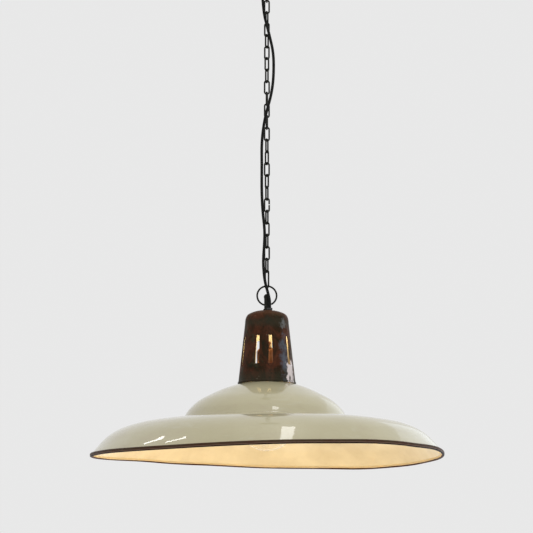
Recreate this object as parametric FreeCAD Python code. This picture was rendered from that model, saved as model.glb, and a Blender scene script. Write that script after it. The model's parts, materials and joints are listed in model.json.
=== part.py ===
"""Pendant ceiling light: an enamelled bell shade under a slotted metal cap, hung on a chain.

Millimetres, +Z up.  The origin is on the ceiling, at the middle of the mounting face, and the
light hangs down from it.  Heights are measured up from a datum plane near the shade's rim, DROP
below the ceiling, and level() turns them into Z.
"""
import FreeCAD, Part
import math
import os

V = FreeCAD.Vector
UP = V(0, 0, 1)

# ---- driving dimensions -------------------------------------------------------------------
DROP = 796.0              # ceiling down to the datum plane
RIM_R = 271.0             # outside of the rim bead
RIM_H = -1.9              # the plane of the rim
SHEET = 1.2               # enamelled steel of the shade

BEAD_W, BEAD_H = 4.8, 6.4             # section of the rim bead
NECK_R = 38.0                         # open top of the shade
CREASE = (128.5, 52.1)                # where the dome meets the bell
DOME = [(NECK_R, 109.4), (50, 106.2), (67, 100.3), (85, 92.0), (104, 81.3), (118, 68.3), CREASE]
BELL = [CREASE, (157, 50.1), (184, 47.2), (211, 42.2), (230.5, 35.0), (246.5, 24.6),
        (260.2, 10.2), (RIM_R - BEAD_W / 2, RIM_H + 4.6)]

CAP_FOOT_R, CAP_FOOT = 44.6, 108.4    # lower edge of the cap
CAP_NECK_R, CAP_NECK = 34.0, 204.0    # where the cone ends
CAP_TOP = 223.8
CAP_WALL = 1.3
SLOT_TOP, SLOT_FOOT = 180.4, 136.4    # vent slots
SLOT_TOP_W, SLOT_FOOT_W = 5.0, 7.5
SLOT_TURNS = (-70.6, -22.0, 8.6, 57.7, 108.0, 163.0, -158.0, -113.0)   # front to +X

LINK_WIRE = 1.32          # radius of the chain's wire
LINK_HALF = 3.65          # half the width of a link, to the middle of its wire
LINK_PITCH = 19.35
LINK_PLAY = 0.12
LINK_LENGTH = LINK_PITCH + 2 * LINK_WIRE + LINK_PLAY
LAST_LINK_EXTRA = 6.0     # the lowest link is this much longer, and wider
LAST_LINK_HALF = 4.2
LINK_TURNS = (90, 0, 65, -20, 55, -22, 42, -60, 5, 78, 13, -78, 0, 64, -52, 12, -52, 64, 0,
              -64, 25, -65, 0, 64, -52)                  # each link's turn about the chain
OPEN_LINK = 18            # the link whose side isn't closed, counted from 0
OPEN_LINK_GAP = 1.6

RING_WIRE = 1.4
RING_R = 15.2             # to the middle of the wire
RING_CENTRE = 247.5
RING_END, RING_START = 20.0, 27.0     # the ring's two ends, in degrees from its lowest point
RING_PLAY = 0.5

POST_R, POST_BALL_R = 4.3, 4.9
POST_TOP = 250.3
POST_EYE_R = 2.05
POST_EYE_LIFT = 0.3
STEM_R = 3.0
STEM_FOOT = 195.0
NUT_FLATS, NUT_H = 10.0, 5.0

HOOK_WIRE = 1.75
HOOK_R = 5.0              # to the middle of the wire
CANOPY_R, CANOPY_H, CANOPY_WALL = 55.0, 33.0, 1.0

CORD_R = 2.25
BUSH_R = 3.4              # sleeve of a cord bush
LEAD_R, LEAD_GAP = 1.5, 0.4           # the cord's inner end, past its sheath
CORD_EXIT = (-7.5, -9.0, 760.5)       # lower face of the canopy's bush
CORD_ENTRY = (4.4, -9.5, 226.4)       # upper face of the cap's bush
# The cord's route, as (x, y, height over the rim), from the canopy to the cap.  Each stretch
# starts at the end of the one above it.
CORD_STRETCHES = {
    "cord_top": [CORD_EXIT, (-7.6, -9.4, 746), (-6.6, -9.9, 728), (-5.6, -10.4, 717)],
    "cord_upper": [(-5.6, -10.4, 717), (-4.6, -10.9, 706), (-0.6, -11.6, 688),
                   (2.5, -11.4, 676)],
    "cord_main": [(2.5, -11.4, 676), (5.6, -11.2, 664), (10.6, -8.6, 640), (11.0, -7.2, 612),
                  (9.6, -8.4, 588), (5.6, -10.8, 565), (0.0, -11.6, 545), (-5.2, -10.2, 521),
                  (-8.4, -6.6, 492), (-8.0, -4.8, 455), (-8.3, -4.4, 415), (-6.6, -5.6, 380),
                  (-3.2, -8.8, 350), (-4.2, -9.4, 325), (-5.0, -9.2, 313.5)],
    "cord_lower": [(-5.0, -9.2, 313.5), (-5.8, -9.0, 302), (-4.8, -8.6, 282),
                   (-3.7, -8.6, 274)],
    "cord_end": [(-3.7, -8.6, 274), (-2.6, -8.6, 266), (2.4, -8.8, 248), (4.8, -9.2, 236),
                 CORD_ENTRY],
}

HOLDER_R, HOLDER_SKIRT_R = 15.5, 18.8
HOLDER_TOP = 165.0
HOLDER_WALL = 0.8
GLOBE_R = 47.5
GLOBE_FOOT = 5.0
SCREW_R = 13.2            # the bulb's screw cap
BULB_TIP = 142.0
GLASS = 0.8


# ---- helpers ------------------------------------------------------------------------------
def level(over_rim):
    """Z of a height over the rim's plane."""
    return over_rim - DROP


def rod(radius, foot, top, x=0.0, y=0.0):
    """Upright round bar between two heights over the rim."""
    return Part.makeCylinder(radius, top - foot, V(x, y, level(foot)), UP)


def tube(outer, inner, foot, top, x=0.0, y=0.0):
    return rod(outer, foot, top, x, y).cut(rod(inner, foot - 1, top + 1, x, y))


def turned(edges):
    """Solid of revolution about Z from a closed outline of edges in the XZ plane."""
    face = Part.Face(Part.Wire(Part.__sortEdges__(edges)))
    return Part.Solid(face.revolve(V(), UP, 360))


def at(point):
    return V(point[0], 0, level(point[1]))


def line(first, last):
    return Part.makeLine(at(first), at(last))


def curve(points):
    """Smooth edge through (radius, height over the rim) points."""
    spline = Part.BSplineCurve()
    spline.interpolate([at(point) for point in points])
    return spline.toShape()


def inside_of(points, depth):
    """The points moved square to their line by depth, towards the hollow below it."""
    moved = []
    for i, (r, h) in enumerate(points):
        before, after = points[max(i - 1, 0)], points[min(i + 1, len(points) - 1)]
        run, rise = after[0] - before[0], after[1] - before[1]
        size = math.hypot(run, rise)
        moved.append((r + depth * rise / size, h - depth * run / size))
    return moved


def hex_nut(flats, bore, foot, height, x=0.0, y=0.0, turn=30.0):
    corner = flats / 2 / math.cos(math.radians(30))
    ring = [V(x + corner * math.cos(math.radians(turn + 60 * i)),
              y + corner * math.sin(math.radians(turn + 60 * i)), level(foot)) for i in range(7)]
    prism = Part.Face(Part.makePolygon(ring)).extrude(V(0, 0, height))
    return prism.cut(rod(bore, foot - 1, foot + height + 1, x, y))


def pan_screw(radius, foot, top, x, y, head_down=False):
    """Round-headed screw, slotted across its head."""
    head_r, head_h = radius * 1.75, radius * 1.2
    head_foot = foot - head_h if head_down else top
    head = rod(head_r, head_foot, head_foot + head_h, x, y)
    slot_foot = head_foot if head_down else head_foot + head_h / 2
    slot = Part.makeBox(head_r * 2.2, radius * 0.4, head_h / 2,
                        V(x - head_r * 1.1, y - radius * 0.2, level(slot_foot)))
    return rod(radius, foot, top, x, y).fuse(head).cut(slot)


def swept(radius, wire, start, direction):
    """Round bar of one radius along a wire of tangent lines and arcs."""
    section = Part.Wire(Part.makeCircle(radius, start, direction))
    return wire.makePipeShell([section], True, True)


def rounded_route(points):
    """Straight runs joined by tangent arcs, as large as each pair of runs allows."""
    edges, tangent_from, radii = [], points[0], []
    for before, here, after in zip(points, points[1:], points[2:]):
        back, ahead = before - here, after - here
        half_turn = (math.pi - back.getAngle(ahead)) / 2
        reach = 0.45 * min(back.Length, ahead.Length)
        radii.append(reach / math.tan(half_turn))
        back.normalize()
        ahead.normalize()
        first, last = here + back * reach, here + ahead * reach
        bisector = (back + ahead).normalize()
        depth = radii[-1] / math.cos(half_turn) - radii[-1]
        edges.append(Part.LineSegment(tangent_from, first).toShape())
        edges.append(Part.Arc(first, here + bisector * depth, last).toShape())
        tangent_from = last
    edges.append(Part.LineSegment(tangent_from, points[-1]).toShape())
    return Part.Wire(edges), radii


def cord(name, route, radius=CORD_R):
    """Plain tube along a route; prints its bends so that none is too tight."""
    points = [V(x, y, level(h)) for x, y, h in route]
    wire, radii = rounded_route(points)
    solid = swept(radius, wire, points[0], points[1] - points[0])
    expected = math.pi * radius ** 2 * wire.Length
    print(name, "length %.1f" % wire.Length, "tightest arc %.0f" % min(radii),
          "volume ratio %.4f" % (solid.Volume / expected))
    return solid


# ---- at the ceiling -----------------------------------------------------------------------
STRAP_W, STRAP_T, STRAP_HALF = 20.0, 2.0, 47.0
STRAP_STEP = 8.0                      # how far the strap's middle stands off the ceiling
STRAP_MIDDLE = 26.0                   # half the length of that middle
FIXING_X, FIXING_R, FIXING_SLOT = 38.0, 2.5, 9.0
HOOK_SEAT = DROP - CANOPY_H           # underside of the canopy, over the rim
BLOCK = (14.0, 20.0, 12.0)
BLOCK_X = 9.0


def ceiling_bracket():
    """Stepped strap: its ends lie on the ceiling and its middle carries the hook."""
    end = STRAP_HALF - STRAP_MIDDLE
    solid = Part.makeBox(2 * STRAP_MIDDLE, STRAP_W, STRAP_T,
                         V(-STRAP_MIDDLE, -STRAP_W / 2, -STRAP_STEP - STRAP_T))
    for side in (-1, 1):
        inner = min(side * STRAP_MIDDLE, side * STRAP_HALF)
        web = side * STRAP_MIDDLE - (STRAP_T if side > 0 else 0)
        solid = solid.fuse(Part.makeBox(end, STRAP_W, STRAP_T, V(inner, -STRAP_W / 2, -STRAP_T)))
        solid = solid.fuse(Part.makeBox(STRAP_T, STRAP_W, STRAP_STEP + STRAP_T,
                                        V(web, -STRAP_W / 2, -STRAP_STEP - STRAP_T)))
        straight = FIXING_SLOT / 2 - FIXING_R
        for x in (-straight, straight):
            solid = solid.cut(rod(FIXING_R, DROP - 5, DROP + 1, side * FIXING_X + x))
        solid = solid.cut(Part.makeBox(2 * straight, 2 * FIXING_R, 6,
                                       V(side * FIXING_X - straight, -FIXING_R, -5)))
    solid = solid.cut(rod(STEM_R + 0.1, DROP - 12, DROP))
    return solid.cut(rod(1.75, DROP - 12, DROP, -STRAP_MIDDLE + 8)).removeSplitter()


def canopy_cup():
    """Shallow round cup, open upwards, with a rolled upper edge."""
    floor_h, top = HOOK_SEAT, DROP - 0.2
    outline = [(0, floor_h), (CANOPY_R - 14, floor_h), (CANOPY_R - 5, floor_h + 4),
               (CANOPY_R - 1, floor_h + 13), (CANOPY_R, top)]
    inner = [(0, floor_h + CANOPY_WALL), (CANOPY_R - 14.2, floor_h + CANOPY_WALL),
             (CANOPY_R - 5.9, floor_h + 4.8), (CANOPY_R - 2, floor_h + 13.2),
             (CANOPY_R - 1, top)]
    solid = turned([line(outline[0], outline[1]), curve(outline[1:]), line(outline[-1], inner[-1]),
                    curve(inner[1:]), line(inner[1], inner[0]), line(inner[0], outline[0])])
    solid = solid.cut(rod(STEM_R + 0.1, floor_h - 1, floor_h + 3))
    return solid.cut(rod(BUSH_R + 0.02, floor_h - 1, floor_h + 3, *CORD_EXIT[:2]))


def hook():
    """Threaded shank with a collar, bent into an open ring below it."""
    centre = V(0, 0, HOOK_BAR_Z + HOOK_R)
    shank = rod(STEM_R, HOOK_SEAT - 2, DROP - 1.5).fuse(rod(5.0, HOOK_SEAT - 2.0, HOOK_SEAT - 0.05))
    neck = Part.makeCone(HOOK_WIRE, STEM_R, level(HOOK_SEAT - 2) - centre.z - HOOK_R + 0.8,
                         centre + V(0, 0, HOOK_R - 0.8), UP)
    bend = Part.makeTorus(HOOK_R, HOOK_WIRE, V(), V(0, 1, 0), -180, 180, 292)
    bend.rotate(V(), V(0, 1, 0), -90)
    bend.translate(centre)
    return shank.fuse([neck, bend]).removeSplitter()


def hook_nuts():
    """One nut above the strap's middle and one below it."""
    top_face, low_face = DROP - STRAP_STEP, DROP - STRAP_STEP - STRAP_T
    return Part.makeCompound([hex_nut(NUT_FLATS, STEM_R + 0.05, top_face + 0.02, NUT_H),
                              hex_nut(NUT_FLATS, STEM_R + 0.05, low_face - NUT_H - 0.02, NUT_H)])


def bush(centre, face, seat, tip, flange_r=4.6):
    """Cord bush: a flange outside the sheet and a sleeve through it."""
    flange = rod(flange_r, min(face, seat), max(face, seat), *centre)
    sleeve = rod(BUSH_R, min(seat, tip), max(seat, tip), *centre)
    bore = rod(CORD_R + 0.05, min(face, tip) - 1, max(face, tip) + 1, *centre)
    return flange.fuse(sleeve).cut(bore).removeSplitter()


def cord_bush_top():
    return bush(CORD_EXIT[:2], CORD_EXIT[2], HOOK_SEAT - 0.05, HOOK_SEAT + 4)


def terminal_block():
    top = DROP - STRAP_STEP - STRAP_T - 0.05
    length, width, height = BLOCK
    solid = Part.makeBox(length, width, height, V(BLOCK_X, -width / 2, level(top - height)))
    for y in (-5.0, 5.0):
        solid = solid.cut(rod(1.6, top - height - 1, top - height + 5, BLOCK_X + length / 2, y))
        port = Part.makeCylinder(1.6, length + 2, V(BLOCK_X - 1, y, level(top - 4.5)), V(1, 0, 0))
        solid = solid.cut(port)
    return solid


def terminal_screws():
    foot = DROP - STRAP_STEP - STRAP_T - BLOCK[2] - 0.05
    x = BLOCK_X + BLOCK[0] / 2
    return Part.makeCompound([rod(1.5, foot + 0.5, foot + 4.5, x, y).cut(
        Part.makeBox(4, 0.5, 0.8, V(x - 2, y - 0.25, level(foot + 0.5)))) for y in (-5.0, 5.0)])


def earth_screw():
    low_face = DROP - STRAP_STEP - STRAP_T
    return pan_screw(1.7, low_face - 0.05, DROP - STRAP_STEP + 2, -STRAP_MIDDLE + 8, 0, True)


def lead_in_canopy():
    """The cord's inner end, from the bush to the terminal block."""
    x, y, h = CORD_EXIT
    port = DROP - STRAP_STEP - STRAP_T - 0.05 - 4.5
    return cord("lead_in_canopy", [(x, y, h + LEAD_GAP), (x, y, h + 8), (x + 2.4, y + 0.4, h + 16),
                                   (x + 8.2, y + 1.5, port), (BLOCK_X - 0.1, -5.0, port)],
                LEAD_R)


# ---- the chain and the ring ----------------------------------------------------------------
LINK_FOOT = RING_CENTRE + RING_R - RING_WIRE - LINK_WIRE - RING_PLAY    # of the lowest link
TOP_LINK_TOP = (LINK_FOOT + LAST_LINK_EXTRA + (len(LINK_TURNS) - 1) * LINK_PITCH
                + LINK_LENGTH)
HOOK_BAR_Z = level(TOP_LINK_TOP - LINK_WIRE - HOOK_WIRE - LINK_PLAY)


def chain_link(index):
    """One welded link: two straight sides and two round ends."""
    links_below = len(LINK_TURNS) - 1 - index
    foot = LINK_FOOT + links_below * LINK_PITCH + (LAST_LINK_EXTRA if links_below else 0)
    length = LINK_LENGTH + (0 if links_below else LAST_LINK_EXTRA)
    half = LINK_HALF if links_below else LAST_LINK_HALF
    low, high = level(foot) + half, level(foot) + length - half
    left, right = -half, half
    edges = [Part.LineSegment(V(right, 0, low), V(right, 0, high)).toShape(),
             Part.Arc(V(right, 0, high), V(0, 0, high + half), V(left, 0, high)).toShape(),
             Part.LineSegment(V(left, 0, high), V(left, 0, low)).toShape(),
             Part.Arc(V(left, 0, low), V(0, 0, low - half), V(right, 0, low)).toShape()]
    solid = swept(LINK_WIRE, Part.Wire(edges), V(right, 0, low), UP)
    if index == OPEN_LINK:
        middle = (low + high) / 2
        solid = solid.cut(Part.makeBox(LINK_HALF, 2 * LINK_HALF, OPEN_LINK_GAP,
                                       V(LINK_HALF - 2 * LINK_WIRE, -LINK_HALF, middle)))
    solid.rotate(V(), UP, LINK_TURNS[index])
    return solid


def ring():
    """Split ring, standing in the XZ plane."""
    start, end = math.radians(RING_START - 90), math.radians(RING_END + 270)
    points = [V(RING_R * math.cos(a), 0, level(RING_CENTRE) + RING_R * math.sin(a))
              for a in (start, (start + end) / 2, end)]
    tangent = V(-math.sin(start), 0, math.cos(start))
    return swept(RING_WIRE, Part.Wire([Part.Arc(*points).toShape()]), points[0], tangent)


# ---- the cap and what holds the light together ----------------------------------------------
STRAP_LEG_X, STIRRUP_W, STIRRUP_T = 27.0, 12.0, 2.0
STIRRUP_TOP = 205.0
SPIDER_TOP, SPIDER_T = 107.0, 1.4
FOOT_X = 32.8


def hanger_post():
    """Ball-headed post with a cross hole for the ring, a collar and a threaded stem."""
    ball = POST_TOP - POST_BALL_R
    eye = RING_CENTRE - RING_R + POST_EYE_LIFT
    solid = rod(POST_R, CAP_TOP, ball).fuse([Part.makeSphere(POST_BALL_R, V(0, 0, level(ball))),
                                             rod(5.6, CAP_TOP + 0.02, CAP_TOP + 2.4),
                                             rod(STEM_R, STEM_FOOT, CAP_TOP + 1)])
    hole = Part.makeCylinder(POST_EYE_R, 30, V(-15, 0, level(eye)), V(1, 0, 0))
    return solid.cut(hole).removeSplitter()


def post_washer():
    return tube(6.2, STEM_R + 0.1, CAP_TOP - CAP_WALL - 1.7, CAP_TOP - CAP_WALL - 0.5)


def stem_nuts():
    """One nut under the cap's crown and one each side of the stirrup."""
    feet = (CAP_TOP - CAP_WALL - 1.75 - NUT_H, STIRRUP_TOP + 0.02,
            STIRRUP_TOP - STIRRUP_T - NUT_H - 0.02)
    return Part.makeCompound([hex_nut(NUT_FLATS, STEM_R + 0.05, foot, NUT_H, turn=0)
                              for foot in feet])


def cord_bush_cap():
    x, y, face = CORD_ENTRY
    return bush((x, y), face, CAP_TOP, CAP_TOP - 4.5, 4.3)


CROWN = [(CAP_NECK_R, CAP_NECK), (33.3, 210.2), (30.9, 215.6), (24.4, 219.8), (12.0, 223.0),
         (0, CAP_TOP)]


def cap():
    """Thin conical cap with a domed crown, a turned lip and eight vent slots."""
    lip_w, lip_h = 0.7, 3.0
    foot_in = CAP_FOOT_R - CAP_WALL
    slope = (CAP_FOOT_R - CAP_NECK_R) / (CAP_NECK - CAP_FOOT)
    shoulder = CAP_FOOT_R - slope * (lip_h + lip_w)
    lip = [(CAP_FOOT_R, CAP_FOOT), (CAP_FOOT_R + lip_w, CAP_FOOT + lip_w),
           (CAP_FOOT_R + lip_w - 0.2, CAP_FOOT + lip_h), (shoulder, CAP_FOOT + lip_h + lip_w)]
    inner_crown = inside_of(CROWN[::-1], CAP_WALL)[::-1]
    inner_crown[-1] = (0, CAP_TOP - CAP_WALL)
    edges = [line(*pair) for pair in zip(lip, lip[1:])]
    edges += [line(lip[-1], CROWN[0]), curve(CROWN), line(CROWN[-1], inner_crown[-1]),
              curve(inner_crown), line(inner_crown[0], (foot_in, CAP_FOOT)),
              line((foot_in, CAP_FOOT), lip[0])]
    solid = turned(edges)
    for turn in SLOT_TURNS:
        half_top, half_foot = SLOT_TOP_W / 2, SLOT_FOOT_W / 2
        outline = Part.makePolygon([V(-half_foot, -20, level(SLOT_FOOT)),
                                    V(half_foot, -20, level(SLOT_FOOT)),
                                    V(half_top, -20, level(SLOT_TOP)),
                                    V(-half_top, -20, level(SLOT_TOP)),
                                    V(-half_foot, -20, level(SLOT_FOOT))])
        slot = Part.Face(outline).extrude(V(0, -40, 0))
        slot.rotate(V(), UP, turn)
        solid = solid.cut(slot)
    solid = solid.cut(rod(STEM_R + 0.1, CAP_TOP - 5, CAP_TOP + 2))
    return solid.cut(rod(BUSH_R + 0.02, CAP_TOP - 8, CAP_TOP + 2, *CORD_ENTRY[:2]))


def stirrup():
    """Bridge of strip steel from the stem down to the spider."""
    half, foot = STRAP_LEG_X + STIRRUP_T, SPIDER_TOP + 0.05
    solid = Part.makeBox(2 * half, STIRRUP_W, STIRRUP_T,
                         V(-half, -STIRRUP_W / 2, level(STIRRUP_TOP - STIRRUP_T)))
    for side in (-1, 1):
        leg_x = STRAP_LEG_X if side > 0 else -half
        foot_x = STRAP_LEG_X if side > 0 else -FOOT_X - 4.5
        solid = solid.fuse(Part.makeBox(STIRRUP_T, STIRRUP_W, STIRRUP_TOP - foot,
                                        V(leg_x, -STIRRUP_W / 2, level(foot))))
        solid = solid.fuse(Part.makeBox(FOOT_X + 4.5 - STRAP_LEG_X, STIRRUP_W - 4, STIRRUP_T,
                                        V(foot_x, -STIRRUP_W / 2 + 2, level(foot))))
        solid = solid.cut(rod(2.1, foot - 1, foot + 4, side * FOOT_X))
    return solid.cut(rod(STEM_R + 0.1, STIRRUP_TOP - 5, STIRRUP_TOP + 2)).removeSplitter()


def stirrup_screws():
    """A screw through each foot of the stirrup, with its nut under the spider."""
    solids = []
    for side in (-1, 1):
        x = side * FOOT_X
        solids.append(pan_screw(2.0, SPIDER_TOP - SPIDER_T - 4.5, SPIDER_TOP + STIRRUP_T + 0.1,
                                x, 0))
        solids.append(hex_nut(7.0, 2.05, SPIDER_TOP - SPIDER_T - 3.3, 3.2, x))
    return Part.makeCompound(solids)


def shade_spider():
    """Carrier under the shade's neck: two rings joined by four arms, open between them."""
    foot = SPIDER_TOP - SPIDER_T
    solid = tube(41.0, 29.5, foot, SPIDER_TOP).fuse(tube(24.0, 19.2, foot, SPIDER_TOP))
    for turn in (45, 135, 225, 315):
        arm = Part.makeBox(8, 7, SPIDER_T, V(22.5, -3.5, level(foot)))
        arm.rotate(V(), UP, turn)
        solid = solid.fuse(arm)
    for side in (-1, 1):
        solid = solid.cut(rod(2.1, foot - 1, SPIDER_TOP + 1, side * FOOT_X))
    return solid.removeSplitter()


# ---- the shade -----------------------------------------------------------------------------
def shade():
    """Spun sheet: a dome that breaks at a crease into a wide bell."""
    dome_in, bell_in = inside_of(DOME, SHEET), inside_of(BELL, SHEET)
    crease_in = (CREASE[0] - 0.9, CREASE[1] - SHEET)
    dome_in[-1] = bell_in[0] = crease_in
    return turned([curve(DOME), curve(BELL), line(BELL[-1], bell_in[-1]), curve(bell_in),
                   curve(dome_in), line(dome_in[0], DOME[0])])


def rim_bead():
    """Edging rolled over the shade's lower edge."""
    half_w, half_h = BEAD_W / 2, BEAD_H / 2
    centre = RIM_R - half_w
    middle = level(RIM_H)
    ellipse = Part.Ellipse(V(centre, 0, middle + half_h), V(centre + half_w, 0, middle),
                           V(centre, 0, middle))
    return Part.Solid(Part.Face(Part.Wire(ellipse.toShape())).revolve(V(), UP, 360))


# ---- lampholder ----------------------------------------------------------------------------
def holder_dome():
    """Upper shell of the lampholder: a seat flange, a wide barrel and a narrower round top."""
    seat, wide = SPIDER_TOP + 0.02, HOLDER_SKIRT_R + 0.1 + HOLDER_WALL
    neck = 5.6
    outer = [(HOLDER_R, 136.5), (HOLDER_R, HOLDER_TOP - 6.5), (HOLDER_R - 2.2, HOLDER_TOP - 2),
             (neck, HOLDER_TOP)]
    inner = [(r - HOLDER_WALL, h) for r, h in outer[:2]]
    inner += [(HOLDER_R - 2.9, HOLDER_TOP - 2.7), (neck - HOLDER_WALL, HOLDER_TOP - HOLDER_WALL)]
    edges = [line((wide - HOLDER_WALL, seat), (22.4, seat)), line((22.4, seat), (22.4, seat + 1)),
             line((22.4, seat + 1), (wide, seat + 1)), line((wide, seat + 1), (wide, 131.0)),
             line((wide, 131.0), outer[0]), line(outer[0], outer[1]), curve(outer[1:]),
             line(outer[-1], (neck, HOLDER_TOP + 5)),
             line((neck, HOLDER_TOP + 5), (neck - HOLDER_WALL, HOLDER_TOP + 5)),
             line((neck - HOLDER_WALL, HOLDER_TOP + 5), inner[-1]), curve(inner[1:]),
             line(inner[1], inner[0]), line(inner[0], (wide - HOLDER_WALL, 130.6)),
             line((wide - HOLDER_WALL, 130.6), (wide - HOLDER_WALL, seat))]
    return turned(edges)


def holder_skirt():
    """Threaded lower sleeve of the lampholder."""
    return tube(HOLDER_SKIRT_R, HOLDER_SKIRT_R - 0.9, 98.5, 127.0)


def shade_ring_nut():
    """Threaded ring that clamps the spider against the lampholder's flange."""
    solid = tube(23.6, HOLDER_SKIRT_R + 0.05, 100.2, SPIDER_TOP - SPIDER_T - 0.02)
    for turn in range(0, 360, 30):
        notch = rod(1.2, 99, 107, 24.2)
        notch.rotate(V(), UP, turn)
        solid = solid.cut(notch)
    return solid


def holder_insert():
    """Ceramic inner of the lampholder."""
    outline = [(SCREW_R + 0.85, 116.5), (17.6, 116.5), (17.6, 129.5), (14.6, 132.5), (14.6, 154.0),
               (0, 154.0), (0, 144.2), (SCREW_R + 0.85, 144.2), (SCREW_R + 0.85, 116.5)]
    return turned([line(*pair) for pair in zip(outline, outline[1:])])


def holder_shell():
    """Threaded contact shell that the bulb screws into."""
    return tube(SCREW_R + 0.8, SCREW_R + 0.2, 117.0, 143.0)


def centre_contact():
    """Spring tongue that presses on the bulb's tip."""
    return Part.makeBox(12, 5, 0.6, V(-5, -2.5, level(BULB_TIP + 0.15))).fuse(
        Part.makeBox(0.6, 5, 1.9, V(6.4, -2.5, level(BULB_TIP + 0.15)))).removeSplitter()


def cord_grip():
    """Gland nut on top of the lampholder."""
    bore = LEAD_R + 0.35
    body = tube(4.7, bore, HOLDER_TOP - 1.5, HOLDER_TOP + 5.1)
    head = hex_nut(12.5, bore, HOLDER_TOP + 5.1, 4.5)
    return body.fuse(head).removeSplitter()


def lead_in_cap():
    """The cord's inner end, from the cap's bush to the lampholder's gland."""
    x, y, face = CORD_ENTRY
    return cord("lead_in_cap", [(x, y, face - LEAD_GAP), (x, y, 214), (x * 0.97, y * 1.02, 202),
                                (x * 0.5, y * 0.55, 187), (0, 0, 176),
                                (0, 0.05, HOLDER_TOP + 1.5)], LEAD_R)


# ---- bulb ----------------------------------------------------------------------------------
def bulb_globe():
    """Clear glass globe drawn up into a neck."""
    centre = GLOBE_FOOT + GLOBE_R
    neck_r, neck_foot, neck_top = 11.9, 106.0, 117.0
    leave = math.radians(68)

    def ball(radius, angle):
        return radius * math.cos(angle), centre + radius * math.sin(angle)

    def half(radius, thin):
        top_of_ball = ball(radius, leave)
        arc = Part.Arc(at((0, centre - radius)), at((radius, centre)), at(top_of_ball)).toShape()
        shoulder = curve([top_of_ball, (15.0 - thin, 100.6), (neck_r + 0.4 - thin, neck_foot)])
        neck = line((neck_r + 0.4 - thin, neck_foot), (neck_r - thin, neck_top))
        return [arc, shoulder, neck]

    edges = half(GLOBE_R, 0) + half(GLOBE_R - GLASS, GLASS)
    edges += [line((neck_r, neck_top), (neck_r - GLASS, neck_top)),
              line((0, centre - GLOBE_R), (0, centre - GLOBE_R + GLASS))]
    return turned(edges)


def bulb_cap():
    """Screw cap, rolled into a coarse thread."""
    pitch, foot, top = 3.63, 114.5, 137.0
    root = SCREW_R - 0.8
    outline = [(SCREW_R - 0.3, foot), (SCREW_R - 0.3, foot + 1.5)]
    turns = int((top - foot - 3) / pitch)
    for turn in range(turns):
        base = foot + 1.5 + turn * pitch
        outline += [(root, base + pitch * 0.25), (root, base + pitch * 0.45),
                    (SCREW_R, base + pitch * 0.75), (SCREW_R, base + pitch)]
    outline += [(root - 1, top - 0.6), (8.0, top), (7.6, top - 0.5), (root - 1.6, top - 1.4),
                (root - 0.2, top - 2.4), (root - 0.1, foot), outline[0]]
    return turned([line(*pair) for pair in zip(outline, outline[1:])])


def bulb_insulator():
    """Dark glass between the screw cap and the tip."""
    outline = [(0, 137.1), (8.0, 137.1), (4.9, 140.9), (0, 140.9), (0, 137.1)]
    return turned([line(*pair) for pair in zip(outline, outline[1:])])


def bulb_contact():
    """Solder tip of the bulb."""
    pad = rod(4.6, 140.95, BULB_TIP - 0.5)
    return pad.fuse(rod(3.4, BULB_TIP - 0.5, BULB_TIP)).removeSplitter()


def bulb_stem():
    """Glass stem that carries the filament."""
    flare = Part.makeCone(3.0, 10.5, 10, V(0, 0, level(104)), UP)
    return flare.fuse([rod(3.0, 62, 104.2), Part.makeSphere(3.6, V(0, 0, level(62)))])


FILAMENTS = 6
FILAMENT_R, FILAMENT_SPREAD, FILAMENT_FOOT, FILAMENT_TOP = 0.9, 17.0, 38.0, 74.0


def bulb_filament():
    """Upright filament sticks on a crown of wires, all held by the stem."""
    solids = []
    for i in range(FILAMENTS):
        angle = math.radians(360 / FILAMENTS * i)
        x, y = FILAMENT_SPREAD * math.cos(angle), FILAMENT_SPREAD * math.sin(angle)
        low, high = V(x * 0.8, y * 0.8, level(FILAMENT_FOOT)), V(x, y, level(FILAMENT_TOP))
        stick = Part.makeCylinder(FILAMENT_R, (high - low).Length, low, high - low)
        hub = V(x * 0.19, y * 0.19, level(FILAMENT_TOP + 4))
        arm = Part.makeCylinder(0.4, (high - hub).Length, hub, high - hub)
        solids.append(stick.fuse(arm).removeSplitter())
    return Part.makeCompound(solids)


# ---- write every piece ---------------------------------------------------------------------
PIECES = (ceiling_bracket, canopy_cup, hook, hook_nuts, cord_bush_top, terminal_block,
          terminal_screws, earth_screw, lead_in_canopy, ring, hanger_post, post_washer, stem_nuts,
          cord_bush_cap, cap, stirrup, stirrup_screws, shade_spider, shade, rim_bead, holder_dome,
          holder_skirt, shade_ring_nut, holder_insert, holder_shell, centre_contact, cord_grip,
          lead_in_cap, bulb_globe, bulb_cap, bulb_insulator, bulb_contact, bulb_stem,
          bulb_filament)


def write(name, shape):
    """Save one piece, after saying so if any of its solids is unsound."""
    for solid in shape.Solids:
        if not solid.isValid() or solid.Volume <= 0:
            print("UNSOUND", name, solid.Volume)
    shape.exportStep("parts/%s.step" % name)


os.makedirs("parts", exist_ok=True)
for piece in PIECES:
    write(piece.__name__, piece())
write("chain_link_01", chain_link(0))
for index in range(1, len(LINK_TURNS), 2):
    pair = Part.makeCompound([chain_link(index), chain_link(index + 1)])
    write("chain_links_%02d_%02d" % (index + 1, index + 2), pair)
for name, route in CORD_STRETCHES.items():
    write(name, cord(name, route))
print("hinges: hook %.2f, chain %.2f, ring %.2f, lamp %.2f" % (
    HOOK_BAR_Z, level(TOP_LINK_TOP - LINK_LENGTH), level(LINK_FOOT),
    level(RING_CENTRE - RING_R)))
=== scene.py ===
"""Pendant ceiling light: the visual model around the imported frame.  Metres, +Z up."""
import json
import math
import random

import bmesh
import bpy
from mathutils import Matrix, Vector, noise


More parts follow.
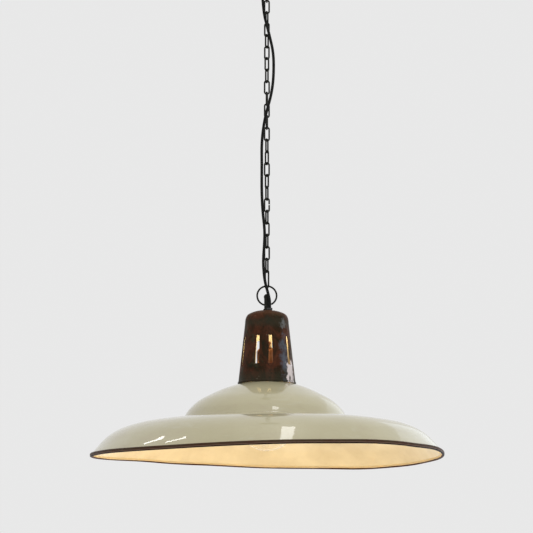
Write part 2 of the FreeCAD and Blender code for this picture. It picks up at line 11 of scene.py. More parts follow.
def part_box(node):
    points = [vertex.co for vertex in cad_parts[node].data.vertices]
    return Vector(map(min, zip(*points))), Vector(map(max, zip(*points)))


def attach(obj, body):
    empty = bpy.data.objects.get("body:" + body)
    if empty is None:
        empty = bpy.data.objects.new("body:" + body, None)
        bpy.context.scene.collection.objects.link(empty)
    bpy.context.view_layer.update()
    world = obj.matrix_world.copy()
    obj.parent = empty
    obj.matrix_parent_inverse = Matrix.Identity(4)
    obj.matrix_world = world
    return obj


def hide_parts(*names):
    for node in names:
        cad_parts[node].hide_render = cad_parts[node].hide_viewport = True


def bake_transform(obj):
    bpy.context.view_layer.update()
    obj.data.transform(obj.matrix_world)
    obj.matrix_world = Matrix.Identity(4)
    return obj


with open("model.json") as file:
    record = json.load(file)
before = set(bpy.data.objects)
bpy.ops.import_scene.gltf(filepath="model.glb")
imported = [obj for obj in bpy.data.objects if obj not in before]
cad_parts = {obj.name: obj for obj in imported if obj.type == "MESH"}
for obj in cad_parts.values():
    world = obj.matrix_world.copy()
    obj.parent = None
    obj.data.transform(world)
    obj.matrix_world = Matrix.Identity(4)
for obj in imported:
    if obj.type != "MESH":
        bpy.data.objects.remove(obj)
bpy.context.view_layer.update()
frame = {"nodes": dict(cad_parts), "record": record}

MM = 0.001
TURN = 2 * math.pi

# ---- places, all from the frame -----------------------------------------------------------
bead_low, bead_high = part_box("rim_bead")
RIM_Z = (bead_low[2] + bead_high[2]) / 2
RIM_R = bead_high[0]
DATUM_Z = RIM_Z + 1.9 * MM        # heights are over this plane, as in the CAD
cap_low, cap_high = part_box("cap")
CAP_R = cap_high[0]


def level(height):
    """Z of a height over the datum plane, both in metres."""
    return DATUM_Z + height


# ---- camera -------------------------------------------------------------------------------
CAMERA_AWAY = 2.49        # from the chain's line, level
CAMERA_SIDE = -0.0006     # along X from the chain's line
CAMERA_DROP = 0.1749      # under the datum plane
CAMERA_PITCH = math.radians(10.665)
LENS = 109.0              # in millimetres


def add_camera():
    data = bpy.data.cameras.new("camera")
    data.lens = LENS
    camera = bpy.data.objects.new("camera", data)
    camera.location = (CAMERA_SIDE, -CAMERA_AWAY, level(-CAMERA_DROP))
    camera.rotation_euler = (math.radians(90) + CAMERA_PITCH, 0, 0)
    bpy.context.collection.objects.link(camera)
    bpy.context.scene.camera = camera


add_camera()
bpy.context.scene.view_settings.view_transform = "Standard"


# ---- building helpers ---------------------------------------------------------------------
def add_mesh(name, vertices, faces, smooth=True):
    """A linked mesh object, smooth-shaded unless said otherwise."""
    mesh = bpy.data.meshes.new(name)
    mesh.from_pydata(vertices, [], faces)
    mesh.validate()
    for polygon in mesh.polygons:
        polygon.use_smooth = smooth
    piece = bpy.data.objects.new(name, mesh)
    bpy.context.collection.objects.link(piece)
    return piece


def face_outwards(piece):
    """Turn every face of a closed mesh so that its normal points out."""
    build = bmesh.new()
    build.from_mesh(piece.data)
    bmesh.ops.recalc_face_normals(build, faces=build.faces)
    build.to_mesh(piece.data)
    build.free()


def through(points, steps):
    """Points of a Catmull-Rom line through the given ones, steps to a span."""
    guides = [tuple(2 * a - b for a, b in zip(points[0], points[1]))]
    guides += points
    guides.append(tuple(2 * a - b for a, b in zip(points[-1], points[-2])))
    line = []
    for p0, p1, p2, p3 in zip(guides, guides[1:], guides[2:], guides[3:]):
        for step in range(steps):
            t = step / steps
            line.append(tuple(
                0.5 * (2 * b + (c - a) * t + (2 * a - 5 * b + 4 * c - d) * t * t
                       + (3 * b - a - 3 * c + d) * t ** 3)
                for a, b, c, d in zip(p0, p1, p2, p3)))
    line.append(points[-1])
    return line


# ---- the cord -----------------------------------------------------------------------------
CORD_R = 2.25 * MM
CORD_SIDES = 16
# Each stretch: the node that it stands for, the bodies that it goes between, the two heights in
# metres where it starts and ends its turn from one to the other, and its route as points of
# (x, y, height) in millimetres.  The stretches run from the canopy's bush to the cap's bush.
CORD_STRETCHES = [
    ("cord_top", ("canopy", "top_link"), (0.758, 0.722),
     [(-7.5, -9.0, 760.5), (-7.6, -9.4, 746), (-6.6, -9.9, 728), (-5.6, -10.4, 717)]),
    ("cord_upper", ("top_link", "chain"), (0.714, 0.680),
     [(-5.6, -10.4, 717), (-4.6, -10.9, 706), (-0.6, -11.6, 688), (2.5, -11.4, 676)]),
    ("cord_main", ("chain",), None,
     [(2.5, -11.4, 676), (5.6, -11.2, 664), (10.6, -8.6, 640), (11.0, -7.2, 612),
      (9.6, -8.4, 588), (5.6, -10.8, 565), (0.0, -11.6, 545), (-5.2, -10.2, 521),
      (-8.4, -6.6, 492), (-8.0, -4.8, 455), (-8.3, -4.4, 415), (-6.6, -5.6, 380),
      (-3.2, -8.8, 350), (-4.2, -9.4, 325), (-5.0, -9.2, 313.5)]),
    ("cord_lower", ("chain", "ring"), (0.310, 0.277),
     [(-5.0, -9.2, 313.5), (-5.8, -9.0, 302), (-4.8, -8.6, 282), (-3.7, -8.6, 274)]),
    ("cord_end", ("ring", "lamp"), (0.264, 0.232),
     [(-3.7, -8.6, 274), (-2.6, -8.6, 266), (2.4, -8.8, 248), (4.8, -9.2, 236),
      (4.4, -9.5, 226.4)]),
]


def spline_points(route):
    """Points along the smooth line that a cord's route controls."""
    curve = bpy.data.curves.new("route", "CURVE")
    curve.dimensions = "3D"
    curve.resolution_u = 8
    spline = curve.splines.new("NURBS")
    spline.points.add(len(route) - 1)
    for point, (x, y, h) in zip(spline.points, route):
        point.co = (x * MM, y * MM, level(h * MM), 1)
    spline.order_u = 3
    spline.use_endpoint_u = True
    holder = bpy.data.objects.new("route", curve)
    bpy.context.collection.objects.link(holder)
    line = bpy.data.meshes.new_from_object(holder)
    points = [vertex.co.copy() for vertex in line.vertices]
    bpy.data.objects.remove(holder)
    return points


def tube_along(name, points, radius, sides, travelled):
    """Closed mesh tube, its UV map once round by metres along, and the metres at its end."""
    heading = (points[1] - points[0]).normalized()
    side = heading.orthogonal().normalized()
    vertices, along = [], []
    for i, point in enumerate(points):
        ahead = points[min(i + 1, len(points) - 1)] - points[max(i - 1, 0)]
        ahead.normalize()
        side = (side - ahead * side.dot(ahead)).normalized()
        up = ahead.cross(side)
        if i:
            travelled += (point - points[i - 1]).length
        along.append(travelled)
        for k in range(sides):
            angle = TURN * k / sides
            vertices.append(point + (side * math.cos(angle) + up * math.sin(angle)) * radius)
    faces, uvs = [], []
    for i in range(len(points) - 1):
        for k in range(sides):
            a, b = i * sides + k, i * sides + (k + 1) % sides
            faces.append((a, b, b + sides, a + sides))
            u, v = k / sides, (k + 1) / sides
            uvs.append(((u, along[i]), (v, along[i]), (v, along[i + 1]), (u, along[i + 1])))
    last = (len(points) - 1) * sides
    faces.append(tuple(range(sides))[::-1])
    faces.append(tuple(range(last, last + sides)))
    uvs += [((0, along[0]),) * sides, ((0, along[-1]),) * sides]
    piece = add_mesh(name, vertices, faces)
    layer = piece.data.uv_layers.new(name="along")
    for polygon, corners in zip(piece.data.polygons, uvs):
        for loop, uv in zip(polygon.loop_indices, corners):
            layer.data[loop].uv = uv
    face_outwards(piece)
    return piece, travelled


def add_cords():
    """The cord's stretches: the one on a single body rides on it, the others stay where they are
    built.
    """
    travelled, cords = 0.0, []
    for node, bodies, span, route in CORD_STRETCHES:
        points = spline_points(route)
        piece, travelled = tube_along(node + "_cover", points, CORD_R, CORD_SIDES, travelled)
        if span:
            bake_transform(piece)
        else:
            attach(piece, bodies[0])
        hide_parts(node)
        cords.append(piece)
    return cords


CORDS = add_cords()


# ---- materials ----------------------------------------------------------------------------
PATCH_REACH = 50 * MM     # the distance that a patch's ramp counts as 1
FACING_BY = -6 * MM       # how far a surface has to face in to count as an inner one
MIX_FACTOR, MIX_A, MIX_B = 0, 6, 7      # a Mix node's inputs when it mixes colours
MIX_RESULT = 2


class Finish:
    """A material's node tree, with the few steps that the finishes below share."""

    def __init__(self, name, roughness, metallic=0.0, **sockets):
        self.material = bpy.data.materials.new(name)
        self.material.use_nodes = True
        self.tree = self.material.node_tree
        self.shader = self.tree.nodes["Principled BSDF"]
        self.shader.inputs["Roughness"].default_value = roughness
        self.shader.inputs["Metallic"].default_value = metallic
        for socket, value in sockets.items():
            self.shader.inputs[socket.replace("_", " ")].default_value = value

    def node(self, kind, **inputs):
        """A new node with the named inputs set."""
        made = self.tree.nodes.new(kind)
        for socket, value in inputs.items():
            made.inputs[socket.replace("_", " ")].default_value = value
        return made

    def place(self, stretch=(1, 1, 1), source="Object"):
        """The coordinates of a point, with each axis counted at its stretch."""
        coordinates = self.node("ShaderNodeTexCoord")
        mapping = self.node("ShaderNodeMapping", Scale=stretch)
        self.tree.links.new(coordinates.outputs[source], mapping.inputs["Vector"])
        return mapping.outputs["Vector"]

    def noise(self, scale, detail=4.0, rough=0.5, stretch=(1, 1, 1), warp=0.0):
        made = self.node("ShaderNodeTexNoise", Scale=scale, Detail=detail, Roughness=rough,
                         Distortion=warp)
        self.tree.links.new(self.place(stretch), made.inputs["Vector"])
        return made.outputs["Fac"]

    def ramp(self, value, stops):
        """Colours or greys by value, from stops of (value, colour or grey) in rising order."""
        made = self.node("ShaderNodeValToRGB")
        self.tree.links.new(value, made.inputs["Fac"])
        elements = made.color_ramp.elements
        elements[0].position, elements[1].position = stops[0][0], stops[-1][0]
        for position, _ in stops[1:-1]:
            elements.new(position)
        for element, (_, shade) in zip(elements, stops):
            color = shade if isinstance(shade, tuple) else (shade, shade, shade)
            element.color = (*color, 1)
        return made.outputs["Color"]

    def feed(self, socket, value):
        """Link an output to a node's input, or set a number or a colour on it."""
        if isinstance(value, bpy.types.NodeSocket):
            self.tree.links.new(value, socket)
        else:
            socket.default_value = (*value, 1) if isinstance(value, tuple) else value

    def mix(self, factor, first, second, blend="MIX"):
        """The first colour, or output, with the second over it by the factor."""
        made = self.node("ShaderNodeMix")
        made.data_type = "RGBA"
        made.blend_type = blend
        for index, value in ((MIX_FACTOR, factor), (MIX_A, first), (MIX_B, second)):
            self.feed(made.inputs[index], value)
        return made.outputs[MIX_RESULT]

    def math(self, operation, first, second):
        made = self.node("ShaderNodeMath")
        made.operation = operation
        self.feed(made.inputs[0], first)
        self.feed(made.inputs[1], second)
        return made.outputs[0]

    def distance(self, centre, stretch=(1, 1, 1)):
        """Distance from a place in the frame, with each axis counted at its stretch."""
        made = self.node("ShaderNodeVectorMath")
        made.operation = "DISTANCE"
        made.inputs[1].default_value = [a * b for a, b in zip(centre, stretch)]
        self.tree.links.new(self.place(stretch), made.inputs[0])
        return made.outputs["Value"]

    def patch(self, centre, stretch, fray, frayed_by, stops):
        """A ramp by distance from a place, its edge frayed by so many metres of a noise."""
        ragged = self.math("MULTIPLY", self.noise(*fray), frayed_by)
        away = self.math("ADD", self.distance(centre, stretch), ragged)
        return self.ramp(self.math("MULTIPLY", away, 1 / PATCH_REACH), stops)

    def facing_in(self, centre):
        """1 on surfaces that face an inner place squarely, 0 on those that face away."""
        coordinates = self.node("ShaderNodeTexCoord")
        outwards = self.node("ShaderNodeVectorMath")
        outwards.operation = "SUBTRACT"
        self.tree.links.new(self.place(), outwards.inputs[0])
        outwards.inputs[1].default_value = centre
        dot = self.node("ShaderNodeVectorMath")
        dot.operation = "DOT_PRODUCT"
        self.tree.links.new(outwards.outputs["Vector"], dot.inputs[0])
        self.tree.links.new(coordinates.outputs["Normal"], dot.inputs[1])
        return self.math("LESS_THAN", dot.outputs["Value"], FACING_BY)

    def height(self):
        """Height in the frame, in metres."""
        split = self.node("ShaderNodeSeparateXYZ")
        self.tree.links.new(self.place(), split.inputs["Vector"])
        return split.outputs["Z"]

    def round_section(self):
        """How far round a rolled edge's section a point is, 0 to 1 from the outside upwards."""
        split = self.node("ShaderNodeSeparateXYZ")
        self.tree.links.new(self.place(source="UV"), split.inputs["Vector"])
        return split.outputs["Y"]

    def to(self, socket, output):
        """Link an output to the shader's own socket."""
        self.tree.links.new(output, self.shader.inputs[socket])

    def bump(self, height, distance, strength=1.0):
        made = self.node("ShaderNodeBump", Distance=distance, Strength=strength)
        self.tree.links.new(height, made.inputs["Height"])
        self.to("Normal", made.outputs["Normal"])


def enamel_outside():
    """Cream vitreous enamel: faint clouds, pin-holes and a slightly wavy gloss."""
    made = Finish("enamel_outside", 0.42, Coat_Weight=1.0, Coat_Roughness=0.035,
                  Specular_IOR_Level=0.3)
    deep_cream, light_cream = (0.345, 0.310, 0.186), (0.405, 0.370, 0.236)
    stained, chalky = (0.345, 0.292, 0.192), (0.44, 0.425, 0.33)
    pin_hole, clear = (0.42, 0.36, 0.26), (1, 1, 1)
    skin = made.ramp(made.noise(6.0, 4.0, 0.6), [(0.30, deep_cream), (0.70, light_cream)])
    stain = made.ramp(made.noise(15.0, 6.0, 0.65, stretch=(1, 1, 3), warp=0.8),
                      [(0.50, 0.0), (0.70, 0.5)])
    skin = made.mix(stain, skin, stained)
    pale = made.ramp(made.noise(22.0, 7.0, 0.7, stretch=(1, 1, 4), warp=0.5),
                     [(0.56, 0.0), (0.74, 0.45)])
    skin = made.mix(pale, skin, chalky)
    speck = made.ramp(made.noise(850.0, 2.0), [(0.25, pin_hole), (0.31, clear)])
    made.to("Base Color", made.mix(0.6, skin, speck, "MULTIPLY"))
    made.bump(made.noise(46.0, 4.0, 0.55), 1.1 * MM, 0.6)
    return made.material


def enamel_inside():
    """The lining's paler enamel, with soft clouds and pin-holes."""
    made = Finish("enamel_inside", 0.34, Coat_Weight=0.3, Coat_Roughness=0.12)
    deep_cream, light_cream = (0.56, 0.47, 0.285), (0.68, 0.59, 0.38)
    pin_hole, clear = (0.55, 0.45, 0.32), (1, 1, 1)
    skin = made.ramp(made.noise(13.0, 4.0, 0.6), [(0.34, deep_cream), (0.62, light_cream)])
    speck = made.ramp(made.noise(700.0, 2.0), [(0.25, pin_hole), (0.31, clear)])
    made.to("Base Color", made.mix(0.5, skin, speck, "MULTIPLY"))
    made.bump(made.noise(40.0, 4.0), 1.1 * MM, 0.6)
    return made.material


def rim_enamel():
    """Brown-black edging with a painted highlight line and painted shade that darkens its
    underside to black, lined with cream.
    """
    made = Finish("rim_enamel", 0.5, Specular_IOR_Level=0.05)
    brown, red_brown = (0.050, 0.030, 0.017), (0.046, 0.017, 0.010)
    worn_brown, black = (0.078, 0.048, 0.032), (0.006, 0.002, 0.001)
    bare_iron = (0.042, 0.011, 0.005)
    lining_cream, painted_highlight_grey = (0.60, 0.50, 0.31), (0.135, 0.085, 0.064)
    red = made.ramp(made.noise(30.0, 3.0), [(0.45, 0.0), (0.65, 0.7)])
    worn = made.ramp(made.noise(110.0, 5.0, 0.6), [(0.56, 0.0), (0.70, 0.6)])
    skin = made.mix(red, brown, red_brown)
    skin = made.mix(worn, skin, worn_brown)
    # stops on the section count from the outside upwards, and wander a little round the rim
    waver = made.math("MULTIPLY", made.noise(60.0, 3.0), 0.04)
    section = made.math("SUBTRACT", made.math("ADD", made.round_section(), waver), 0.02)
    # painted shade: the underside of the roll is darkened to near-black
    under = made.ramp(section, [(0.70, 0.0), (0.76, 1.0), (0.90, 1.0), (0.93, 0.0)])
    skin = made.mix(under, skin, black)
    # the lining's enamel runs down over the inner side, to a ragged red-brown edge
    drift = made.math("ADD", section, made.math("MULTIPLY", made.noise(11.0, 3.0), 0.13))
    lined = made.ramp(drift, [(0.28, 0.0), (0.30, 1.0), (0.610, 1.0), (0.640, 0.0)])
    bare = made.ramp(drift, [(0.28, 0.0), (0.30, 1.0), (0.76, 1.0), (0.84, 0.0)])
    skin = made.mix(bare, skin, bare_iron)
    skin = made.mix(lined, skin, lining_cream)
    # painted highlight: a light grey line on the lower outer side of the roll
    line = made.ramp(section, [(0.905, 0.0), (0.930, 0.9), (0.955, 0.9), (0.985, 0.0)])
    made.to("Base Color", made.mix(line, skin, painted_highlight_grey))
    made.to("Roughness", made.ramp(made.noise(190.0, 4.0), [(0.3, 0.34), (0.7, 0.60)]))
    made.bump(made.noise(260.0, 4.0), 0.6 * MM, 0.7)
    return made.material


def cap_patina():
    """Brown and green-black patina outside, chipped on one side, with a painted reflection and
    painted highlights, and a pale sheet inside, partly painted lamplight.
    """
    made = Finish("cap_patina", 0.5, Specular_IOR_Level=0.035)
    skin = made.ramp(made.noise(48.0, 9.0, 0.70, stretch=(1, 1, 0.7), warp=0.9), [
        (0.36, (0.014, 0.013, 0.007)), (0.45, (0.026, 0.013, 0.006)),
        (0.54, (0.050, 0.018, 0.009)), (0.70, (0.090, 0.028, 0.014))])
    moss = made.ramp(made.noise(38.0, 9.0, 0.75, stretch=(1, 1, 0.8)),
                     [(0.53, 0.0), (0.62, 0.9)])
    skin = made.mix(moss, skin, (0.034, 0.033, 0.018))
    pits = made.ramp(made.noise(260.0, 5.0, 0.7), [(0.56, 0.0), (0.66, 0.8)])
    skin = made.mix(pits, skin, (0.008, 0.007, 0.004))
    # green-black bands under the shoulder and above the lip, and a redder crown: the stops
    # count from the lip, 0, to the crown, 1
    ragged_by = 16 * MM
    ragged = made.math("ADD", made.height(),
                       made.math("MULTIPLY", made.noise(70.0, 7.0, 0.7), ragged_by))
    low, high = cap_low[2] + ragged_by / 2, cap_high[2] + ragged_by / 2
    up = made.math("DIVIDE", made.math("SUBTRACT", ragged, low), high - low)
    bands = made.ramp(up, [(0.02, 0.75), (0.10, 0.55), (0.17, 0.0), (0.72, 0.0), (0.79, 0.6),
                           (0.84, 0.65), (0.89, 0.0)])
    skin = made.mix(bands, skin, (0.028, 0.027, 0.017))
    crown = made.ramp(up, [(0.88, 0.0), (0.94, 0.55)])
    skin = made.mix(crown, skin, (0.078, 0.032, 0.015))
    # a painted reflection: a grey-blue streak right of the middle
    painted_reflection = made.patch((CAP_R * 0.56, -CAP_R * 0.66, cap_low[2] + 38 * MM), (1.0, 1.0, 0.17),
                       (90.0, 9.0, 0.75), 34 * MM, [(0.36, 0.9), (0.50, 0.0)])
    skin = made.mix(painted_reflection, skin, (0.078, 0.088, 0.108))
    # pale chips low on the right, partly bare metal and partly painted highlight, with veins of
    # the patina left between them
    flecks_and_highlight = made.patch((CAP_R * 0.80, -CAP_R * 0.50, cap_low[2] + 15 * MM), (1.0, 1.0, 0.34),
                       (110.0, 5.0, 0.7), 18 * MM, [(0.375, 1.0), (0.39, 0.0)])
    vein = made.ramp(made.noise(34.0, 5.0, 0.6, stretch=(1, 1, 0.7), warp=1.2), [
        (0.455, 1.0), (0.475, 0.0), (0.525, 0.0), (0.545, 1.0)])
    skin = made.mix(made.math("MULTIPLY", flecks_and_highlight, vein), skin, (0.54, 0.48, 0.47))
    # a painted highlight: a grey patch on the right of the shoulder
    painted_shoulder_highlight = made.patch((CAP_R * 0.56, -CAP_R * 0.52, cap_high[2] - 22 * MM), (1.0, 1.0, 0.6),
                         (120.0, 8.0, 0.75), 36 * MM, [(0.40, 0.75), (0.50, 0.0)])
    skin = made.mix(painted_shoulder_highlight, skin, (0.125, 0.130, 0.128))
    # light scratches here and there
    scratch = made.ramp(made.noise(160.0, 4.0, 0.7, stretch=(1, 1, 0.5)),
                        [(0.68, 0.0), (0.72, 1.0)])
    skin = made.mix(scratch, skin, (0.14, 0.12, 0.09))
    # painted lamplight: the inner surfaces take a pale warm tone, a pale sheet partly painted as
    # lit by the bulb
    inside = made.facing_in((0, 0, cap_low[2]))
    made.to("Base Color", made.mix(inside, skin, (0.60, 0.52, 0.37)))
    made.to("Roughness", made.ramp(made.noise(90.0, 5.0), [(0.3, 0.32), (0.7, 0.58)]))
    made.bump(made.noise(85.0, 7.0, 0.65), 1.2 * MM, 0.7)
    return made.material


def cord_cover():
    """Black cord with a fine weave along it."""
    made = Finish("cord_cover", 0.65, Specular_IOR_Level=0.1)
    round_and_along = made.place((6.0, 420.0, 1), "UV")
    weave = made.node("ShaderNodeTexWave", Scale=1.0, Distortion=0.0)
    made.tree.links.new(round_and_along, weave.inputs["Vector"])
    made.to("Base Color", made.ramp(made.noise(160.0, 4.0), [(0.35, (0.003, 0.003, 0.003)),
                                                            (0.70, (0.010, 0.010, 0.008))]))
    made.bump(weave.outputs["Fac"], 0.25 * MM, 0.4)
    return made.material


def bulb_glass():
    """Clear glass, faint seen straight on, with the brownish line of its wall at the edge."""
    made = Finish("bulb_glass", 0.02, Transmission_Weight=1.0)
    edge = made.node("ShaderNodeLayerWeight", Blend=0.5).outputs["Facing"]
    clear = made.ramp(made.noise(8.0, 2.0), [(0.3, (1.0, 0.90, 0.74)), (0.7, (1.0, 0.94, 0.82))])
    wall = made.ramp(edge, [(0.72, 0.0), (0.96, 1.0)])
    made.to("Base Color", made.mix(wall, clear, (0.12, 0.05, 0.03)))
    made.to("Alpha", made.ramp(edge, [(0.70, 0.06), (0.95, 0.45)]))
    made.bump(made.noise(24.0, 2.0), 0.0004, 0.3)
    return made.material


def filament():
    """Glowing wire."""
    made = Finish("filament", 0.5, Emission_Strength=14.0)
    glow = made.ramp(made.noise(500.0, 2.0), [(0.3, (1.0, 0.62, 0.26)), (0.7, (1.0, 0.74, 0.40))])
    made.to("Base Color", glow)
    made.to("Emission Color", glow)
    return made.material


# The plainer finishes, each two tones over a noise and a fine grain: name, roughness, metallic,
# the tones' noise, the tones' stops, the grain's noise, its depth and its strength, and sockets.
TWO_TONE = [
    ("black_iron", 0.45, 0.1, (300.0, 5.0),
     [(0.35, (0.004, 0.004, 0.003)), (0.72, (0.020, 0.019, 0.013))],
     (700.0, 3.0), 0.3 * MM, 0.5, {"Specular_IOR_Level": 0.14}),
    ("canopy_paint", 0.35, 0.0, (80.0, 4.0),
     [(0.35, (0.010, 0.010, 0.009)), (0.70, (0.020, 0.020, 0.018))],
     (900.0, 2.0), 0.2 * MM, 0.5, {"Coat_Weight": 0.2}),
    ("zinc_steel", 0.35, 1.0, (120.0, 4.0),
     [(0.3, (0.34, 0.34, 0.32)), (0.7, (0.56, 0.55, 0.50))],
     (500.0, 3.0), 0.2 * MM, 0.5, {}),
    ("lead_sleeve", 0.7, 0.0, (240.0, 4.0),
     [(0.35, (0.52, 0.44, 0.30)), (0.70, (0.66, 0.57, 0.42))],
     (900.0, 2.0), 0.2 * MM, 0.5, {"Specular_IOR_Level": 0.2}),
    ("bush_rubber", 0.6, 0.0, (200.0, 3.0), [(0.3, 0.008), (0.7, 0.022)],
     (800.0, 2.0), 0.2 * MM, 0.5, {}),
    ("block_plastic", 0.45, 0.0, (90.0, 3.0), [(0.3, 0.68), (0.7, 0.76)],
     (700.0, 2.0), 0.2 * MM, 0.4, {}),
    ("holder_brass", 0.38, 0.85, (70.0, 5.0, 0.6),
     [(0.32, (0.22, 0.095, 0.050)), (0.68, (0.46, 0.22, 0.12))],
     (300.0, 4.0), 0.3 * MM, 0.5, {}),
    ("holder_ceramic", 0.7, 0.0, (60.0, 3.0),
     [(0.3, (0.70, 0.67, 0.60)), (0.7, (0.78, 0.76, 0.70))],
     (900.0, 2.0), 0.2 * MM, 0.5, {}),
    ("bulb_screw", 0.25, 1.0, (150.0, 4.0),
     [(0.3, (0.55, 0.49, 0.36)), (0.7, (0.72, 0.66, 0.50))],
     (600.0, 2.0), 0.2 * MM, 0.4, {}),
    ("bulb_tip", 0.4, 1.0, (300.0, 3.0), [(0.3, 0.40), (0.7, 0.62)],
     (500.0, 2.0), 0.3 * MM, 0.5, {}),
    ("bulb_black_glass", 0.12, 0.0, (120.0, 3.0), [(0.3, 0.006), (0.7, 0.016)],
     (200.0, 2.0), 0.2 * MM, 0.4, {}),
]


def two_tone(name, roughness, metallic, tones, stops, grain, depth, strength, sockets):
    made = Finish(name, roughness, metallic, **sockets)
    made.to("Base Color", made.ramp(made.noise(*tones), stops))
    made.bump(made.noise(*grain), depth, strength)
    return made.material


FINISHES = {make.__name__: make() for make in (
    enamel_outside, enamel_inside, rim_enamel, cap_patina, cord_cover, bulb_glass, filament)}
FINISHES.update((row[0], two_tone(*row)) for row in TWO_TONE)

# nodes with a finish of their own, not the one that their slot names
SPECIAL = {"lead_in_cap": "lead_sleeve"}


def finish_nodes():
    """Every CAD node that shows takes the finish named by its slot in the record."""
    for entry in frame["record"]["subparts"]:
        made = FINISHES.get(SPECIAL.get(entry["node"], entry["material_slot"]))
        if made is None:      # the shade's slot: its node is replaced below
            continue
        for material_slot in frame["nodes"][entry["node"]].material_slots:
            material_slot.link = "OBJECT"
            material_slot.material = made


finish_nodes()
for cord_piece in CORDS:
    cord_piece.data.materials.append(FINISHES["cord_cover"])


# ---- the shade and its rim ----------------------------------------------------------------
# Outer profile in millimetres, as (radius, height).
DOME = [(38.0, 109.4), (50, 106.2), (67, 100.3), (85, 92.0), (104, 81.3), (118, 68.3),
        (126.9, 54.6)]
BELL = [(131.0, 51.9), (157, 50.1), (184, 47.2), (211, 42.2), (230.5, 35.0), (246.5, 24.6),
        (260.2, 10.2), (268.6, -0.4)]
PROFILE_STEPS = 7         # to a span of the profile
SHEET = 1.2 * MM
SHADE_TURNS = 320         # faces round the shade
STILL_R = 50 * MM         # the shade is true inside this radius
SADDLE = 4.6 * MM         # how far the rim rises and falls, twice round
SADDLE_HIGH = math.radians(-44)
RIPPLE = 1.1 * MM * 1.6   # the noise below seldom passes 0.6
SWELL = 0.9 * MM
DOME_LEAN = 2.4 * MM      # the dome was spun a little off the rim's centre
LEAN_FADE = 1.4           # the lean is over when this times the reach is 1
random.seed(58)
DENTS = [(random.uniform(0, TURN), random.uniform(0.14, 0.26),
          random.uniform(-0.5, 0.5) * MM, random.uniform(14, 34) * MM) for _ in range(26)]


def wander(turn, waves, layer):
    """Smooth noise that closes on itself round the shade: more waves, a busier line."""
    return noise.noise(Vector((math.cos(turn) * waves, math.sin(turn) * waves, layer)))


def warped(x, y, z):
    """Where a point of the true shade lies on the real, slightly buckled one."""
    radius, turn = math.hypot(x, y), math.atan2(y, x)
    reach = min(max((radius - STILL_R) / (RIM_R - STILL_R), 0), 1)
    lift = SADDLE * reach ** 3 * math.cos(2 * (turn - SADDLE_HIGH))
    lift += RIPPLE * reach ** 4 * wander(turn, 2.4, 3.1)
    swell = 1 + SWELL / RIM_R * reach * wander(turn, 1.6, 8.7)
    for place, out, depth, width in DENTS:
        away = math.hypot(x - out * math.cos(place), y - out * math.sin(place))
        lift += depth * math.exp(-(away / width) ** 2)
    lean = DOME_LEAN * math.sin(math.pi * min(reach * LEAN_FADE, 1))
    return Vector((x * swell - lean, y * swell, z + lift))


def spun(profile):
    """Vertices and faces of a closed profile of (radius, height), spun round and warped."""
    vertices, faces = [], []
    for radius, height in profile:
        for i in range(SHADE_TURNS):
            angle = TURN * i / SHADE_TURNS
            vertices.append(warped(radius * math.cos(angle), radius * math.sin(angle),
                                   level(height)))
    for row in range(len(profile)):
        start, below = row * SHADE_TURNS, (row + 1) % len(profile) * SHADE_TURNS
        for i in range(SHADE_TURNS):
            j = (i + 1) % SHADE_TURNS
            faces.append((start + i, start + j, below + j, below + i))
    return vertices, faces


def add_shade():
    """The sheet, enamelled outside and lined inside."""
    outer = [(r * MM, h * MM) for r, h in through(DOME + BELL, PROFILE_STEPS)]
    inner = []
    for i, (r, h) in enumerate(outer):
        before, after = outer[max(i - 1, 0)], outer[min(i + 1, len(outer) - 1)]
        run, rise = after[0] - before[0], after[1] - before[1]
        size = math.hypot(run, rise)
        inner.append((r + SHEET * rise / size, h - SHEET * run / size))
    piece = add_mesh("shade_sheet", *spun(outer + inner[::-1]))
    piece.data.materials.append(FINISHES["enamel_outside"])
    piece.data.materials.append(FINISHES["enamel_inside"])
    for index, polygon in enumerate(piece.data.polygons):
        polygon.material_index = 0 if index < len(outer) * SHADE_TURNS else 1
    face_outwards(piece)
    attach(piece, "lamp")
    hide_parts("shade")


def add_rim():
    """Rolled edging with a shallow groove, so that it catches a line of light."""
    half_w, half_h, rise, sides = 2.4 * MM, 3.0 * MM, 0.4 * MM, 32
    groove, groove_at, groove_wide = 0.3 * MM, -6, 12      # the last two in degrees
    profile = []
    for i in range(sides):
        angle = TURN * i / sides
        from_groove = (math.degrees(angle) - groove_at + 180) % 360 - 180
        dip = groove * math.exp(-(from_groove / groove_wide) ** 2)
        profile.append((RIM_R - half_w + (half_w - dip) * math.cos(angle),
                        half_h * math.sin(angle) + rise + RIM_Z - DATUM_Z))
    piece = add_mesh("rim_bead_roll", *spun(profile))
    piece.data.materials.append(FINISHES["rim_enamel"])
    layer = piece.data.uv_layers.new(name="section")
    for index, polygon in enumerate(piece.data.polygons):
        row, turn = divmod(index, SHADE_TURNS)
        for loop, (right, down) in zip(polygon.loop_indices, ((0, 0), (1, 0), (1, 1), (0, 1))):
            layer.data[loop].uv = ((turn + right) / SHADE_TURNS, (row + down) / sides)
    face_outwards(piece)
    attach(piece, "lamp")
    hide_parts("rim_bead")


add_shade()
add_rim()


# ---- stage --------------------------------------------------------------------------------
def add_floor():
    """Plain pale floor, far wider than any view of the light."""
    half, drop = 14.0, 0.35
    corners = [(x, y, level(-drop)) for x, y in ((-half, -half), (half, -half), (half, half),
                                                 (-half, half))]
    floor = add_mesh("floor", corners, [(0, 1, 2, 3)], smooth=False)
    made = Finish("floor_paint", 0.9, Specular_IOR_Level=0.1)
    made.to("Base Color", made.ramp(made.noise(3.0, 3.0), [(0.3, 0.78), (0.7, 0.82)]))
    floor.data.materials.append(made.material)


add_floor()

STUDIO_GREY = 0.81
WHITE, COOL, COOLER = (1, 1, 1), (0.86, 0.93, 1.0), (0.76, 0.86, 1.0)
WARM, LAMPLIGHT = (1.0, 0.70, 0.34), (1.0, 0.84, 0.56)
BELL_HEIGHT = (0, 0, 0.1)
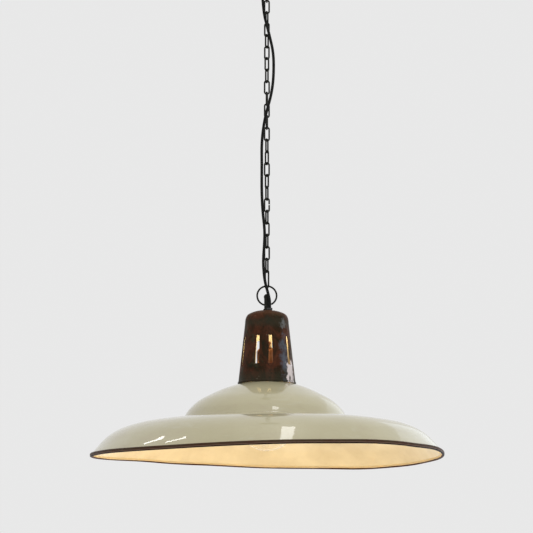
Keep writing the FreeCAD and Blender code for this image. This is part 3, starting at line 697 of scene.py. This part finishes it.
# Area lights: name, place and aim as (x, y, height), size, watts, colour, the rays that don't
# meet them, and whether they swing with the lamp.
AREA_LIGHTS = [
    ("key", (0.3, -1.7, 1.3), BELL_HEIGHT, (0.5, 0.5), 9, WHITE, (), False),
    ("side", (1.5, 1.1, 0.35), BELL_HEIGHT, (2.2, 2.0), 30, COOL, ("glossy",), False),
    ("sheen", (1.4, 1.03, 0.34), BELL_HEIGHT, (2.1, 1.9), 6.5, COOLER, ("diffuse",), False),
    ("over", (0, -0.3, 1.9), BELL_HEIGHT, (1.2, 1.2), 8, WHITE, ("glossy",), False),
    # small near ones that only make the highlights in the gloss
    ("strip", (0.061, -0.28, 0.31), (0.061, -0.28, 0.0), (0.041, 0.125), 0.10, WHITE,
     ("diffuse", "transmission"), False),
    ("left_a", (-0.281, -0.178, 0.246), (-0.125, -0.233, 0.008), (0.010, 0.07), 0.022, WHITE,
     ("diffuse", "transmission"), False),
    ("left_b", (-0.328, -0.107, 0.222), (-0.163, -0.206, 0.008), (0.010, 0.07), 0.022, WHITE,
     ("diffuse", "transmission"), False),
    # the even warm glow that fills the bell
    ("bell_glow", (-0.05, 0, -0.16), (-0.05, 0, 0.2), (0.34, 0.36), 0.68, WARM,
     ("glossy", "transmission"), True),
]
# Point lights in the bulb and in the cap, which swing with it: name, place, radius, watts,
# colour, and the rays that don't meet them.
POINT_LIGHTS = [
    ("bulb_glow", (-0.02, 0, 0.04), 0.02, 0.5, WARM, ("glossy", "transmission")),
    ("cap_glow", (-0.013, 0.008, 0.187), 0.006, 0.030, LAMPLIGHT, ("glossy",)),
    ("cap_glow", (0.015, 0.004, 0.187), 0.006, 0.030, LAMPLIGHT, ("glossy",)),
]


def add_light(data, place, power, color, hidden_from):
    """A light at (x, y, height), unseen by the camera and by some kinds of ray."""
    data.energy = power
    data.color = color
    light = bpy.data.objects.new(data.name, data)
    x, y, height = place
    light.location = (x, y, level(height))
    light.visible_diffuse = "diffuse" not in hidden_from
    light.visible_glossy = "glossy" not in hidden_from
    light.visible_camera = False
    light.visible_transmission = "transmission" not in hidden_from
    bpy.context.collection.objects.link(light)
    return light


def add_lights():
    """Pale world, soft studio lights, and the lamp's own warm light."""
    world = bpy.data.worlds.new("studio")
    bpy.context.scene.world = world
    world.use_nodes = True
    background = world.node_tree.nodes["Background"]
    background.inputs["Color"].default_value = (STUDIO_GREY, STUDIO_GREY, STUDIO_GREY, 1)
    background.inputs["Strength"].default_value = 1.0
    for name, place, aim, size, power, color, hidden_from, swings in AREA_LIGHTS:
        data = bpy.data.lights.new(name, "AREA")
        data.shape = "RECTANGLE"
        data.size, data.size_y = size
        towards = Vector(aim) - Vector(place)
        light = add_light(data, place, power, color, hidden_from)
        light.rotation_euler = towards.to_track_quat("-Z", "Y").to_euler()
        if swings:
            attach(light, "lamp")
    for name, place, radius, power, color, hidden_from in POINT_LIGHTS:
        data = bpy.data.lights.new(name, "POINT")
        data.shadow_soft_size = radius
        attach(add_light(data, place, power, color, hidden_from), "lamp")


add_lights()
